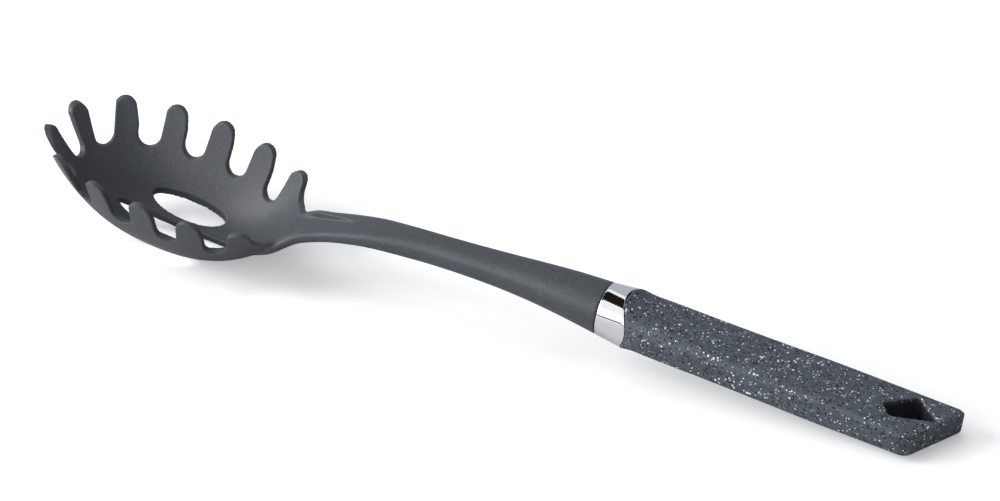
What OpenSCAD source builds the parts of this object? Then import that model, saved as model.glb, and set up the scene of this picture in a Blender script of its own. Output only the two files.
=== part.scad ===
// Pasta server: a slotted, tined nylon bowl on a curved neck, a bright ring and a stone-effect grip.
// It lies as on a table: the bowl's floor and the grip's far end touch z = 0, and the bowl points to -X.

/* [Bowl] */
// Length of the bowl over its tine tips
bowl_l = 104.8; // [94:0.2:118]
// Width of the bowl over its tine tips
bowl_w = 63.2; // [56:0.2:72]
// Depth of the bowl below the tips of its rear tines
bowl_d = 32; // [28:0.5:38]
// Wall of the bowl, its floor and its tines
wall = 2.3; // [1.8:0.1:3]
// Lean of the bowl, front up, in degrees
bowl_tilt = 9.5; // [5:0.5:13]
// Power of the curve by which the walls rise
bowl_swell = 2.75; // [2.3:0.05:3.3]
// Power of the bowl's outline seen from above, where 2 is an ellipse
bowl_square = 2.3; // [2.05:0.05:2.6]

/* [Tines] */
// Width of a tine just below its tip, along the rim
tine_w = 8.5; // [6.2:0.1:9.4]
// How much wider a tine is at its root
tine_flare = 1.5; // [0:0.1:2.4]
// How much narrower a tine is at its tip
tip_taper = 0.2; // [0:0.1:1.6]
// Height of the gaps' roots above the bowl's floor
root_h = 16.2; // [13:0.1:19]
// Height of the rim beside the neck
neck_rim_h = 24.2; // [22:0.1:26]
// Fillet between the last tine and the rim beside the neck
neck_fillet_r = 4.7; // [3:0.1:6]

/* [Drain slots] */
// Length of the middle slot
slot_l = 44.4; // [36:0.2:50]
// Width of the middle slot
slot_w = 8; // [6:0.1:9]
// Length of the two side slots
side_slot_l = 29.2; // [22:0.2:34]
// Width of the two side slots
side_slot_w = 8.4; // [6:0.1:9]
// Distance from the middle slot to a side slot, centre to centre
slot_pitch = 11.1; // [10.6:0.1:13]

/* [Neck] */
// Length of the neck along the handle, from the bowl's rear tip line to the ring
neck_l = 111.4; // [95:0.2:130]
// Width of the neck where it is slimmest
neck_w = 11.6; // [9:0.1:14]
// Diameter of the neck where it meets the ring
collar_d = 18.5; // [16:0.1:19]
// Slope of the handle down to its far end, in degrees
handle_tilt = 6.9; // [5.5:0.1:8]
// Length of the shallow recess on top where the bowl runs out
pad_l = 16; // [12:0.5:24]
// Width of that recess at the bowl
pad_w = 10.5; // [6:0.5:12]

/* [Ring] */
// Length of the bright ring
ring_l = 9.6; // [6:0.1:14]
// Width of the ring at the grip
ring_w = 20.8; // [19:0.1:21]
// Height of the ring at the grip
ring_t = 18.9; // [16:0.1:19.4]
// Diameter of the tang that passes through the ring
tang_d = 13; // [11:0.1:14]
// Length of the flat tang beyond the ring
tang_l = 30; // [16:1:45]
// Width of the flat tang
tang_w = 11; // [9:0.2:12]
// Height of the flat tang
tang_t = 5; // [4:0.1:5.6]

/* [Grip] */
// Length of the grip, at its middle
grip_l = 111; // [98:0.5:130]
// Width of the grip at its middle
grip_w = 22.4; // [21:0.1:25]
// Height of the grip at its middle
grip_t = 11.8; // [11:0.1:14]
// Slant of the grip's end, in degrees
end_slant = 25; // [15:1:36]
// Round of the grip's end seen from above
end_corner_r = 4.5; // [3:0.5:8]
// Round of the grip's end seen from the side
end_edge_r = 2.2; // [1:0.1:3]
// Width of the stiff core inside the grip
core_w = 16; // [14:0.2:17]
// Height of the stiff core
core_t = 8.2; // [7.4:0.1:8.8]
// Length of the stiff core
core_l = 78; // [60:1:82]

/* [Hanging hole] */
// Length of the hanging hole along the grip
hole_l = 18.4; // [14:0.2:20]
// Width of the hanging hole
hole_w = 13.8; // [11:0.2:14.4]
// How far the hole's middle lies off the grip's middle line
hole_off = 2; // [0:0.1:2.4]
// Round of the hole's corners
hole_r = 1.6; // [1:0.1:2.5]
// Distance from the hole's far corner to the grip's end
hole_edge = 2.4; // [2.2:0.1:6]

/* [Hidden] */

// Clearance of the tang in the ring and in the core's socket
tang_fit = 0.1;
// Overrun of every cut past the surface that it opens
cut = 1;
// Steps along the rim, faces round the bowl, the neck and the small rounds, steps round a grip corner
rim_steps = 180;
bowl_sides = 72;
neck_sides = 40;
round_sides = 28;
corner_steps = 8;
// Edge break of the ring
ring_edge = 0.4;
// Round shoulder of the grip at the ring
shoulder_r = 0.8;
// Slope and tip of the recess on the neck
pad_dip = 0.8;
pad_tip_r = 1.4;

// Rings of the bowl's wall, as shares of its outline's size
bowl_rings_share = [0.06, 0.16, 0.26, 0.36, 0.45, 0.53, 0.61, 0.68, 0.74, 0.8, 0.85, 0.9, 0.94, 0.98, 1.01];

// Gaps between the tines, from the front one: place of the gap's middle at the tips and at its root,
// as shares of the rim from the front to the neck, and the root's height as a share of root_h
gap_shares = [
    [0, 0, 1],
    [0.15, 0.156, 0.99],
    [0.297, 0.304, 1],
    [0.438, 0.441, 1.025],
    [0.576, 0.578, 1.025],
    [0.714, 0.719, 1]
];
// Tines, from the front one: place as a share of the rim, height of the tip as a share of bowl_d,
// width as a share of tine_w
tine_shares = [
    [0.074, 0.95, 0.9],
    [0.223, 0.965, 1],
    [0.367, 0.98, 1],
    [0.507, 0.992, 1],
    [0.645, 0.978, 1],
    [0.782, 0.955, 1]
];

// Neck from the bowl to the ring: share of neck_l, top and bottom from the handle's line as shares
// of collar_d, share of the way from neck_w to collar_d, powers of the section's lower and upper half
neck_shares = [
    [-0.2, -1.358, -1.781, 0.096, 2, 2],
    [-0.17, -1.24, -1.653, 0.67, 2, 2],
    [-0.136, -1.092, -1.505, 1.339, 2, 2],
    [-0.103, -0.954, -1.367, 1.817, 2.1, 2.3],
    [-0.069, -0.817, -1.21, 1.961, 2.2, 2.7],
    [-0.036, -0.669, -1.043, 1.569, 2.3, 3.1],
    [0, -0.537, -0.883, 1.1, 2.3, 3.4],
    [0.05, -0.426, -0.76, 0.746, 2.3, 3.4],
    [0.1, -0.317, -0.651, 0.603, 2.3, 3.4],
    [0.17, -0.179, -0.546, 0.478, 2.3, 3.2],
    [0.24, -0.057, -0.479, 0.335, 2.3, 2.9],
    [0.35, 0.075, -0.428, 0.086, 2.3, 2.5],
    [0.44, 0.147, -0.383, 0, 2.3, 2.3],
    [0.55, 0.217, -0.343, 0.096, 2.2, 2.2],
    [0.66, 0.291, -0.326, 0.22, 2.2, 2.2],
    [0.78, 0.38, -0.346, 0.497, 2.1, 2.1],
    [0.89, 0.451, -0.405, 0.832, 2, 2],
    [1, 0.5, -0.5, 1, 2, 2]
];

// Grip from the ring to its end: share of grip_l, width as a share of grip_w, height as a share
// of grip_t, corner radius as a share of grip_t
grip_shares = [
    [0, 0.94, 1.62, 0.72],
    [0.04, 1, 1.32, 0.62],
    [0.11, 0.99, 1.16, 0.43],
    [0.2, 0.985, 1.06, 0.33],
    [0.33, 1, 0.99, 0.27],
    [0.48, 1.02, 0.97, 0.24],
    [0.63, 1.06, 0.93, 0.21],
    [0.78, 1.09, 0.86, 0.195],
    [0.9, 1.11, 0.81, 0.185],
    [1, 1.11, 0.8, 0.18]
];

// Plan of the hanging hole: corners as shares of half its length and half its width
hole_shares = [[-1, -0.23], [0.01, 1], [1, -0.08], [-0.53, -1]];

// Share of the grip over which its sections turn to the slanted end
slant_share = 0.3;

// Room for cutting inside the rim and past the tips: reach inward as a share of half the bowl's width,
// and height as a share of bowl_d
inward_share = 0.6;
lift_share = 0.25;

// Row of a table that holds a share
function row(t, s, i = 0) = (i >= len(t) - 2 || s < t[i + 1][0]) ? i : row(t, s, i + 1);

// Slope of a column at a row
function slope(t, c, i) =
    let (a = max(i - 1, 0), b = min(i + 1, len(t) - 1))
    (t[b][c] - t[a][c]) / (t[b][0] - t[a][0]);

// Smooth value of a column at a share
function at(t, c, s) =
    let (i = row(t, s), d = t[i + 1][0] - t[i][0], u = (s - t[i][0]) / d)
    (2 * u * u * u - 3 * u * u + 1) * t[i][c] + (u * u * u - 2 * u * u + u) * d * slope(t, c, i)
    + (3 * u * u - 2 * u * u * u) * t[i + 1][c] + (u * u * u - u * u) * d * slope(t, c, i + 1);

// Point of a squared ellipse at an angle, from its half length and half width
function squared(a, rx, ry, p) =
    let (k = pow(pow(abs(cos(a)), p) + pow(abs(sin(a)), p), -1 / p))
    [rx * k * cos(a), ry * k * sin(a)];

// Outward direction of the rim at a point of it
function outward(q, rx, ry) =
    let (p = bowl_square, g = [sign(q.x) * pow(abs(q.x) / rx, p - 1) / rx,
                               sign(q.y) * pow(abs(q.y) / ry, p - 1) / ry])
    g / norm(g);

// Half length and half width of the rim, outside and at the middle of its wall
rim_x = bowl_l / 2;
rim_y = bowl_w / 2;
mid_x = rim_x - wall / 2;
mid_y = rim_y - wall / 2;
inward_reach = rim_y * inward_share;

// Point on the bowl's wall: share of the outline's size, angle, depth below the outer surface
function wall_at(s, a, depth) =
    let (q = squared(a, rim_x, rim_y, bowl_square), n = outward(q, rim_x, rim_y),
         spread = q.x * n.x + q.y * n.y,
         rise = bowl_d * bowl_swell * pow(s, bowl_swell - 1) / spread,
         k = depth / sqrt(1 + rise * rise))
    [s * q.x - k * rise * n.x, s * q.y - k * rise * n.y, bowl_d * pow(s, bowl_swell) + k];

// Share of the outline's size at a height
function share_at(h) = pow(h / bowl_d, 1 / bowl_swell);

// Rim from the front round to the neck, with the run along it
rim = [for (i = [0 : rim_steps]) squared(180 * (1 - i / rim_steps), mid_x, mid_y, bowl_square)];
rim_run = [for (i = 0, s = 0; i <= rim_steps; s = s + norm(rim[min(i + 1, rim_steps)] - rim[i]), i = i + 1) s];
rim_l = rim_run[rim_steps];
rim_places = [for (i = [0 : rim_steps]) [rim_run[i], 180 * (1 - i / rim_steps)]];

// Place and outward direction on the rim at a run from the front, negative on the other side
function rim_spot(run) =
    let (q = squared(lookup(abs(run), rim_places), mid_x, mid_y, bowl_square))
    [q.x, run < 0 ? -q.y : q.y];
function rim_out(run) = outward(rim_spot(run), mid_x, mid_y);

// Tines: run of the middle, height of the tip and its radius
last = len(tine_shares) - 1;
function tine_run(i) = tine_shares[i][0] * rim_l;
function tine_top(i) = tine_shares[i][1] * bowl_d;
function tip_r(i) = tine_shares[i][2] * tine_w / 2;

// Width of a gap at the tips and at its root, along the rim
function gap_w(i) =
    (i == 0 ? 2 * tine_run(0) : tine_run(i) - tine_run(i - 1)) - tip_r(i) - tip_r(max(i - 1, 0));
function gap_root_w(i) = gap_w(i) - tine_flare;

// Where the tilted bowl touches the table
touch_share = pow(rim_x * tan(bowl_tilt) / (bowl_d * bowl_swell), 1 / (bowl_swell - 1));
bowl_z = rim_x * touch_share * sin(bowl_tilt) - bowl_d * pow(touch_share, bowl_swell) * cos(bowl_tilt);

// Foremost reach of the bowl, at the tip of the front tine
front_places = [for (a = [0 : 10 : 180])
    let (r = tip_r(0), h = tine_top(0) - r + r * sin(a), s = share_at(h), q = rim_spot(tine_run(0)),
         y = q.y - r * cos(a) * abs(rim_out(tine_run(0)).x),
         x = -rim_x * s * pow(1 - pow(abs(y) / (rim_y * s), bowl_square), 1 / bowl_square))
    x * cos(bowl_tilt) + h * sin(bowl_tilt)];
front_reach = -min(front_places);

// The handle's line: where the ring starts, from the bowl, and the height that lets the end touch
end_t = at(grip_shares, 2, 1) * grip_t;
handle_l = ring_l + grip_l;
ring_x = rim_x * cos(bowl_tilt) + bowl_d * sin(bowl_tilt) + neck_l * cos(handle_tilt);
end_y = at(grip_shares, 1, 1) * grip_w / 2 - end_corner_r * (1 - sin(end_slant));
far_reach = end_y * tan(end_slant) - end_corner_r * (1 - cos(end_slant));
ring_z = (handle_l + far_reach - end_edge_r) * sin(handle_tilt)
    + (end_t / 2 - end_edge_r) * cos(handle_tilt) + end_edge_r;
rear_reach = ring_x + (handle_l + far_reach) * cos(handle_tilt) + (end_t / 2 - end_edge_r) * sin(handle_tilt);

// Place of the bowl's centre, so that the whole part is centred on the origin
bowl_x = front_reach - (front_reach + rear_reach) / 2;

// Faces between rings of points, with both ends closed
function skin(rings, sides) = concat(
    [[for (i = [0 : sides - 1]) i]],
    [for (k = [0 : rings - 2], i = [0 : sides - 1])
        let (j = (i + 1) % sides, a = k * sides, b = a + sides) [b + i, b + j, a + j, a + i]],
    [[for (i = [sides - 1 : -1 : 0]) (rings - 1) * sides + i]]);

module loft(rings) {
    sides = len(rings[0]);
    polyhedron([for (r = rings, q = r) q], skin(len(rings), sides), convexity = 6);
}

// The bowl's own place: floor at the origin, neck to +X
module in_bowl() {
    translate([bowl_x, 0, bowl_z]) rotate([0, bowl_tilt, 0]) children();
}

// The handle's own place: ring's front face at the origin, +X along the handle
module in_handle() {
    translate([bowl_x + ring_x, 0, ring_z]) rotate([0, handle_tilt, 0]) children();
}

// The bowl's filled form below a depth of its wall, up past the tips
module bowl_form(depth, top_share) {
    loft([for (s = concat(bowl_rings_share, [top_share]))
        [for (i = [0 : bowl_sides - 1]) wall_at(s, 360 * i / bowl_sides, depth)]]);
}

module along_rim(run) {
    way = rim_out(run);
    translate(rim_spot(run)) rotate([0, 0, atan2(way.y, way.x)]) children();
}

// Room that one tine stands in, round at the tip, along the wall's own direction
module tine_room(i) {
    reach = inward_reach + wall * 2;
    r = tip_r(i);
    along_rim(tine_run(i)) hull() {
        translate([-inward_reach, 0, tine_top(i) - r])
            rotate([0, 90, 0]) cylinder(r = r, h = reach, $fn = round_sides);
        translate([-inward_reach, -2 * r, root_h / 2]) cube([reach, 4 * r, wall]);
    }
}

// Lying cone that touches the wall's directions at both ends of a stretch of the rim
module rim_cone(middle, width, h) {
    n1 = rim_out(middle - width / 2);
    n2 = rim_out(middle + width / 2);
    s1 = rim_spot(middle - width / 2);
    s2 = rim_spot(middle + width / 2);
    d = s2 - s1;
    apex = s1 + n1 * (d.x * n2.y - d.y * n2.x) / (n1.x * n2.y - n1.y * n2.x);
    way = (n1 + n2) / norm(n1 + n2);
    turn = acos(n1 * n2) / 2;
    mid = ((s1 + s2) / 2 - apex) * way;
    near = max(0, mid - inward_reach);
    far = mid + wall * 3;
    wall_r = (rim_spot(middle) * share_at(h) - apex) * way * tan(turn);
    translate([apex.x + near * way.x, apex.y + near * way.y, h + wall_r])
        rotate([0, 0, atan2(way.y, way.x)]) rotate([0, 90, 0])
            cylinder(r1 = near * tan(turn), r2 = far * tan(turn), h = far - near, $fn = round_sides);
}

// Gap between two tines, with a round root, wider towards the tips
module tine_gap(i) {
    hull() {
        rim_cone(gap_shares[i][1] * rim_l, gap_root_w(i), gap_shares[i][2] * root_h);
        rim_cone(gap_shares[i][0] * rim_l, gap_w(i) + tip_taper, bowl_d);
    }
}

// Fillet between the last tine's round tip and the rim beside the neck, which it touches both
fillet_z = neck_rim_h + neck_fillet_r;
fillet_rise = fillet_z - (tine_top(last) - tip_r(last));
fillet_off = sqrt(pow(neck_fillet_r + tip_r(last), 2) - pow(fillet_rise, 2));
fillet_top = fillet_z - fillet_rise * neck_fillet_r / (neck_fillet_r + tip_r(last));

// Open space above the rim between the last tine and the neck
module neck_gap() {
    slide_l = rim_l - tine_run(last) - tip_r(last);
    along_rim(tine_run(last)) hull() for (slide = [0, slide_l], lift = [0, bowl_d])
        translate([-inward_reach, -fillet_off - slide, fillet_z + lift])
            rotate([0, 90, 0]) cylinder(r = neck_fillet_r, h = inward_reach * 2, $fn = round_sides);
}

module both_sides() {
    children();
    mirror([0, 1, 0]) children();
}

module bowl_wall() {
    difference() {
        intersection() {
            bowl_form(0, share_at(bowl_d + cut));
            union() {
                translate([-bowl_l, -bowl_w, -cut]) cube([2 * bowl_l, 2 * bowl_w, root_h + tip_r(1) + cut]);
                translate([rim_spot(tine_run(last)).x, -bowl_w, -cut])
                    cube([bowl_l, 2 * bowl_w, fillet_top + cut]);
                both_sides() for (i = [0 : last]) tine_room(i);
            }
        }
        tine_gap(0);
        both_sides() for (i = [1 : last]) tine_gap(i);
        both_sides() neck_gap();
    }
}

module drain_slot(l, w) {
    translate([0, 0, -cut]) linear_extrude(root_h / 2 + cut) scale([1, w / l]) circle(d = l, $fn = 2 * round_sides);
}

// Neck as a loft along the handle's line, with its tang
module neck() {
    first = neck_shares[0][0];
    steps = 32;
    loft([for (i = [0 : steps])
        let (s = first + (1 - first) * i / steps, low_p = at(neck_shares, 4, s), top_p = at(neck_shares, 5, s),
             top = at(neck_shares, 1, s) * collar_d, low = at(neck_shares, 2, s) * collar_d,
             w = neck_w + at(neck_shares, 3, s) * (collar_d - neck_w))
        [for (j = [0 : neck_sides - 1])
            let (q = squared(360 * j / neck_sides, w / 2, (top - low) / 2, 2 * j < neck_sides ? top_p : low_p))
            [(s - 1) * neck_l, q.x, q.y + (top + low) / 2]]]);
    translate([-wall, 0, 0]) rotate([0, 90, 0])
        cylinder(d = tang_d, h = wall + ring_l, $fn = 2 * round_sides);
    bar(0, ring_l + tang_l, tang_w, tang_t);
}

// Shallow recess on the neck's top, from the bowl to a round tip
module pad() {
    start = -neck_l;
    lift = at(neck_shares, 1, 0) * collar_d;
    end_lift = at(neck_shares, 1, pad_l / neck_l) * collar_d;
    hull() {
        translate([start - wall, -pad_w / 2, lift - pad_dip]) cube([wall, pad_w, collar_d]);
        translate([start + pad_l - pad_tip_r, 0, end_lift - pad_dip])
            cylinder(r = pad_tip_r, h = collar_d, $fn = round_sides);
    }
}

module head() color("dimgray") {
    difference() {
        union() {
            in_bowl() bowl_wall();
            in_handle() neck();
        }
        in_bowl() bowl_form(wall, share_at(bowl_d * (1 + lift_share)));
        in_bowl() drain_slot(slot_l, slot_w);
        in_bowl() both_sides() translate([0, slot_pitch, 0]) drain_slot(side_slot_l, side_slot_w);
        in_handle() pad();
    }
}

// Ring's outer form: round at the neck, a little wider and flatter at the grip
module ring_form() {
    places = [[0, ring_edge], [ring_edge, 0], [ring_l / 2, 0], [ring_l - ring_edge, 0], [ring_l, ring_edge]];
    loft([for (q = places)
        let (s = q[0] / ring_l, w = collar_d + (ring_w - collar_d) * s, t = collar_d + (ring_t - collar_d) * s)
        [for (j = [0 : 2 * neck_sides - 1])
            let (e = squared(180 * j / neck_sides, w / 2 - q[1], t / 2 - q[1], 2 + s / 4))
            [q[0], e.x, e.y]]]);
}

module ferrule() color("silver") in_handle() {
    difference() {
        ring_form();
        translate([-cut, 0, 0]) rotate([0, 90, 0])
            cylinder(d = tang_d + 2 * tang_fit, h = ring_l + 2 * cut, $fn = 2 * round_sides);
    }
}

// Rounded rectangle in the grip's section
function box_ring(w, t, r, x, lean) =
    [for (c = [0 : 3], j = [0 : corner_steps])
        let (a = 90 * (c + j / corner_steps), sx = (c == 0 || c == 3) ? 1 : -1, sy = c < 2 ? 1 : -1,
             y = sx * (w / 2 - r) + r * cos(a))
        [x + lean * y, y, sy * (t / 2 - r) + r * sin(a)]];

// One ring of the grip at a distance from the ring's rear face, drawn in by two insets
function grip_ring(x, in_w, in_t) =
    let (s = x / grip_l, w = at(grip_shares, 1, s) * grip_w - 2 * in_w,
         t = at(grip_shares, 2, s) * grip_t - 2 * in_t,
         r = max(at(grip_shares, 3, s) * grip_t - in_t, wall / 4),
         u = max(0, (s - 1 + slant_share) / slant_share))
    box_ring(w, t, r, ring_l + x, tan(end_slant) * u * u * (3 - 2 * u));

module grip_form() {
    shoulder = [for (a = [0 : 30 : 90]) [shoulder_r * (1 - cos(a)), shoulder_r * (1 - sin(a))]];
    body_steps = 22;
    body_end = grip_l - end_corner_r;
    end = [for (a = [0 : 10 : 90])
        let (x = body_end + end_corner_r * sin(a), left = grip_l - x,
             z = left < end_edge_r ? end_edge_r - sqrt(end_edge_r * end_edge_r - pow(end_edge_r - left, 2)) : 0)
        [x, end_corner_r * (1 - cos(a)), z]];
    loft(concat(
        [for (q = shoulder) grip_ring(q[0], q[1], q[1])],
        [for (i = [1 : body_steps - 1])
            grip_ring(shoulder_r + (body_end - shoulder_r) * i / body_steps, 0, 0)],
        [for (q = end) grip_ring(q[0], q[1], q[2])]));
}

// Plan of the hanging hole, centred where its corners are shares of its size
hole_x = handle_l - hole_edge - hole_l / 2;
module hole_plan() {
    translate([hole_x, hole_off]) offset(r = hole_r, $fn = round_sides) offset(delta = -hole_r)
        polygon([for (q = hole_shares) [q.x * hole_l / 2, q.y * hole_w / 2]]);
}

// Bar with round sides along the handle, from a distance to a further one
module bar(from, to, w, t) {
    translate([from, 0, 0]) rotate([0, 90, 0]) linear_extrude(to - from) {
        square([t, w - t], center = true);
        for (side = [-1, 1]) translate([0, side * (w - t) / 2]) circle(d = t, $fn = round_sides);
    }
}

// Stiff core inside the grip, with the socket that holds the tang
module handle_core() color("darkslategray") in_handle() {
    difference() {
        bar(ring_l, ring_l + core_l, core_w, core_t);
        bar(ring_l - cut, ring_l + tang_l + tang_fit, tang_w + 2 * tang_fit, tang_t + 2 * tang_fit);
    }
}

module grip() color("slategray") in_handle() {
    difference() {
        grip_form();
        bar(ring_l - cut, ring_l + core_l, core_w, core_t);
        translate([0, 0, -grip_t]) linear_extrude(2 * grip_t) hole_plan();
    }
}

head();
ferrule();
handle_core();
grip();
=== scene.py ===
import math

import bmesh
import bpy
from bpy.props import FloatProperty, FloatVectorProperty, PointerProperty
from mathutils import Matrix, Vector


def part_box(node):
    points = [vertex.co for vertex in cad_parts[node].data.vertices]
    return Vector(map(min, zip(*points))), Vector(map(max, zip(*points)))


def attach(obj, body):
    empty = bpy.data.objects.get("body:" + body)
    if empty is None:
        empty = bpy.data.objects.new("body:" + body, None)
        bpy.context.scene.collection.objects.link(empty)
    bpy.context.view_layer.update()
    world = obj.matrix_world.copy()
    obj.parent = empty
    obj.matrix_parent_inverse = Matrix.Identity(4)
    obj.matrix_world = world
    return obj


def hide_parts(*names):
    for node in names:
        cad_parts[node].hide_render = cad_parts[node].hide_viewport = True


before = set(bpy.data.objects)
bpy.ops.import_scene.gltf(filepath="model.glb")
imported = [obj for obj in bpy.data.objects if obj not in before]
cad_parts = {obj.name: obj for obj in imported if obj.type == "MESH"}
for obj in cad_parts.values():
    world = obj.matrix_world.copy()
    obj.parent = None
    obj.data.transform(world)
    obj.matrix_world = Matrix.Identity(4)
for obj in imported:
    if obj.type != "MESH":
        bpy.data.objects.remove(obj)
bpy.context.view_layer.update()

bl_info = {
    "name": "Pasta Server",
    "version": (1, 0, 0),
    "blender": (4, 5, 0),
    "location": "View3D > Sidebar > Pasta Server",
    "description": "Nylon pasta server with tines, a bright ring and a stone-effect grip",
    "category": "Object",
}

MM = 0.001

# Fineness: sides and rows of the bowl, of the neck and of the grip, sides of the ring and of the tools
BOWL_SIDES, BOWL_ROWS = 160, 33
NECK_SIDES, NECK_ROWS = 72, 60
CORNER_STEPS, GRIP_ROWS, END_STEPS = 12, 60, 18
RING_SIDES, CONE_SIDES, SLOT_SIDES, TIP_SIDES = 128, 48, 96, 32

# Most triangles of one skin, and the rounds of smoothing for the edges of the head and of the grip
MOST_TRIANGLES = 190000
HEAD_ROUNDS, GRIP_ROUNDS = 8, 4

# Share of half the bowl's width by which the tools reach inwards through the wall
THROUGH = 0.6

# Height of the bowl's sheet, and of the form of its inside, as shares of its depth
SHEET_TOP, INSIDE_TOP = 1.02, 1.35

# Recess on the neck: how far inside the rim it starts, its depth, how much deeper it is there, and the
# radius of its point
PAD_BACK, PAD_DIP, PAD_DEEP, PAD_TIP = 9 * MM, 0.65 * MM, 0.3 * MM, 1.4 * MM

# Ring and grip: rounded ends of the ring, radius inside it, grip's round at the ring, smallest corner
RING_EDGE, RING_BORE, SHOULDER, LEAST_CORNER = 0.25 * MM, 7 * MM, 0.5 * MM, 0.55 * MM

# Length of the grip in which its waved end turns straight, share of the grip at which the slant begins, and
# the share that it takes up
WAVE_REACH, SLANT_START, SLANT_SHARE = 13 * MM, 0.7, 0.3

# Share of half the outline at which the bowl's sheet begins
SHEET_START = 0.05

# Light that the floor adds for the camera, so that it is white, and what the lamps are turned to
FLOOR_GLOW = 0.34
MIDDLE = (0, 0, 0.02)

# Colour sockets of the Mix node
MIX_UNDER, MIX_OVER, MIX_RESULT = 6, 7, 2

# Gaps between the tines, from the front one: place at the tips, place at the root, height of the root
GAPS = [(0, 0, 1), (0.15, 0.156, 0.99), (0.297, 0.304, 1), (0.438, 0.441, 1.025), (0.576, 0.578, 1.025),
        (0.714, 0.719, 1)]

# Tines, from the front one: place along the rim, height of the tip, width
TINES = [(0.074, 0.95, 0.9), (0.223, 0.965, 1), (0.367, 0.98, 1), (0.507, 0.992, 1), (0.645, 0.978, 1),
         (0.782, 0.955, 1)]

# Neck from the bowl to the ring: share of its length, top and bottom from the handle's line, width,
# powers of its lower and upper half
NECK = [(-0.2, -1.358, -1.781, 0.096, 2, 2), (-0.17, -1.24, -1.653, 0.67, 2, 2),
        (-0.136, -1.092, -1.505, 1.339, 2, 2), (-0.103, -0.954, -1.367, 1.817, 2.1, 2.3),
        (-0.069, -0.817, -1.21, 1.961, 2.2, 2.7), (-0.036, -0.669, -1.043, 1.569, 2.3, 3.1),
        (0, -0.537, -0.883, 1.1, 2.3, 3.4), (0.05, -0.426, -0.76, 0.746, 2.3, 3.4),
        (0.1, -0.317, -0.651, 0.603, 2.3, 3.4), (0.17, -0.179, -0.546, 0.478, 2.3, 3.2),
        (0.24, -0.057, -0.479, 0.335, 2.3, 2.9), (0.35, 0.075, -0.428, 0.086, 2.3, 2.5),
        (0.44, 0.147, -0.383, 0, 2.3, 2.3), (0.55, 0.217, -0.343, 0.096, 2.2, 2.2),
        (0.66, 0.291, -0.326, 0.22, 2.2, 2.2), (0.78, 0.38, -0.346, 0.497, 2.1, 2.1),
        (0.89, 0.451, -0.405, 0.832, 2, 2), (1, 0.5, -0.5, 1, 2, 2)]

# Grip from the ring to its end: share of its length, width, height, corner radius
GRIP = [(0, 0.94, 1.62, 0.72), (0.04, 1, 1.32, 0.62), (0.11, 0.99, 1.16, 0.43),
        (0.2, 0.985, 1.06, 0.33), (0.33, 1, 0.99, 0.27), (0.48, 1.02, 0.97, 0.24),
        (0.63, 1.06, 0.93, 0.21), (0.78, 1.09, 0.86, 0.195), (0.9, 1.11, 0.81, 0.185),
        (1, 1.11, 0.8, 0.18)]

# Corners of the hanging hole, as shares of half its length and half its width
HOLE = [(-0.99, -0.36), (0.04, 1.1), (1.11, -0.22), (-0.54, -1.1)]

# Half sizes of the oval in which painted shade darkens the hole's walls, as shares of the hole's length and
# width
HOLE_PAINTED_SHADE = (0.576, 0.594)

# Spots on the rim where the skin is eased: mm from the neck's middle, share of the rim's height there,
# reach in mm, rounds
EASED = [((-13.5, 13.5), 1, 6, 30), ((-5, 0.1, 5), 1, 7.5, 160), ((-13, -8, 0.1, 8, 13), 0.66, 7, 70)]

# Specks of the stone: fineness, size, share of the cells, stretch and turn of the pattern, kind
SPECKS = [(1400, 0.62, 0.50, (1, 1, 1), (0, 0, 0), "black"),
          (820, 0.40, 0.34, (1, 0.7, 1), (0, 0, 0.6), "black"),
          (1700, 0.52, 0.12, (1, 1, 1), (0.4, 0, 0), "dull"),
          (1450, 0.50, 0.16, (1, 1, 1), (0, 0.7, 0), "pale"),
          (860, 0.36, 0.11, (1, 1, 1), (0, 0.3, 0.9), "pale"),
          (470, 0.26, 0.05, (0.6, 1.3, 1), (0, 0, 0.8), "pale")]


def length(label, text, value):
    return FloatProperty(name=label, description=text, default=value * MM, unit='LENGTH', precision=4)


def tint(label, text, value):
    return FloatVectorProperty(name=label, description=text, default=value, subtype='COLOR', size=3,
                               min=0, max=1)


class SERVER_PG_bowl(bpy.types.PropertyGroup):
    size_x: length("Length", "Length of the bowl over its tine tips", 104.8)
    size_y: length("Width", "Width of the bowl over its tine tips", 63.2)
    depth: length("Depth", "Depth of the bowl below the tips of its rear tines", 32)
    wall: length("Wall", "Wall of the bowl, its floor and its tines", 2.3)
    tilt: FloatProperty(name="Lean", description="Lean of the bowl, front up", default=math.radians(9.5),
                        subtype='ANGLE')
    swell: FloatProperty(name="Swell", description="Power by which the walls rise", default=2.75)
    square: FloatProperty(name="Squareness", description="Power of the outline, 2 is an ellipse",
                          default=2.3)
    tine_width: length("Tine width", "Width of a tine below its tip", 8.5)
    tine_flare: length("Tine flare", "How much wider a tine is at its root", 1.5)
    tip_taper: length("Tip taper", "How much narrower a tine is at its tip", 0.2)
    root: length("Root height", "Height of the gaps' roots above the floor", 16.2)
    neck_rim: length("Rim at neck", "Height of the rim beside the neck", 24.2)
    fillet: length("Fillet", "Fillet between the last tine and the neck", 4.7)
    slot_length: length("Middle slot", "Length of the middle drain slot", 44.4)
    slot_width: length("Slot width", "Width of the middle drain slot", 8)
    side_length: length("Side slots", "Length of the side drain slots", 29.2)
    side_width: length("Side slot width", "Width of the side drain slots", 8.4)
    pitch: length("Slot distance", "Distance from the middle slot to a side slot", 11.1)


class SERVER_PG_neck(bpy.types.PropertyGroup):
    run: length("Length", "Length of the neck from the bowl's rear tip line to the ring", 111.4)
    slim: length("Width", "Width of the neck where it is slimmest", 11.6)
    collar: length("Collar", "Diameter of the neck at the ring", 18.5)
    tilt: FloatProperty(name="Slope", description="Slope of the handle down to its end",
                        default=math.radians(6.9), subtype='ANGLE')
    pad_length: length("Recess", "Length of the shallow recess on top of the neck", 16)
    pad_width: length("Recess width", "Width of the recess inside the rim", 17)
    grain: length("Skin", "Size of the steps in which the moulding's skin is laid", 0.32)


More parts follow.
